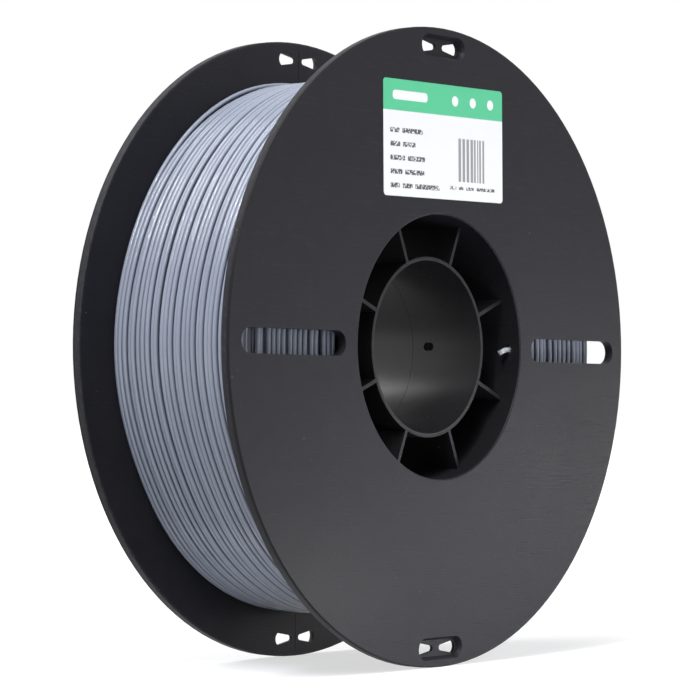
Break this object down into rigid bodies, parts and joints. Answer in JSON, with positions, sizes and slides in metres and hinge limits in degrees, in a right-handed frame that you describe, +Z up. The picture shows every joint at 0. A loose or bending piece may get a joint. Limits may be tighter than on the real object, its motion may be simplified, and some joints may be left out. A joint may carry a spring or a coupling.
{
  "type": "filament spool",
  "caption": "Full spool of 3D printer filament: flanged halves with ribbed hub, sight slots and parking windows, wound strand and a plain paper label.",
  "frame": {"origin": "on the axle, in the middle of the bore and of the spool's width", "axes": "+Y along the axle from the labelled front flange to the rear one, +Z up through the upper windows as the spool stands on its rims, +X through the right-hand slots"},
  "size_m": [0.2, 0.0631, 0.2],
  "materials": {
    "moulded_plastic": "fine satin moulded texture, charcoal",
    "filament": "semi-gloss, blue grey",
    "label_paper": "smooth white sticker with a green header and plain grey bars"
  },
  "bodies": {
    "root": {"front_half": "moulded_plastic", "rear_half": "moulded_plastic", "filament_inner_layers": "filament", "filament_outer_turns": "filament", "filament_start": "filament", "label": "label_paper"}
  },
  "joints": []
}
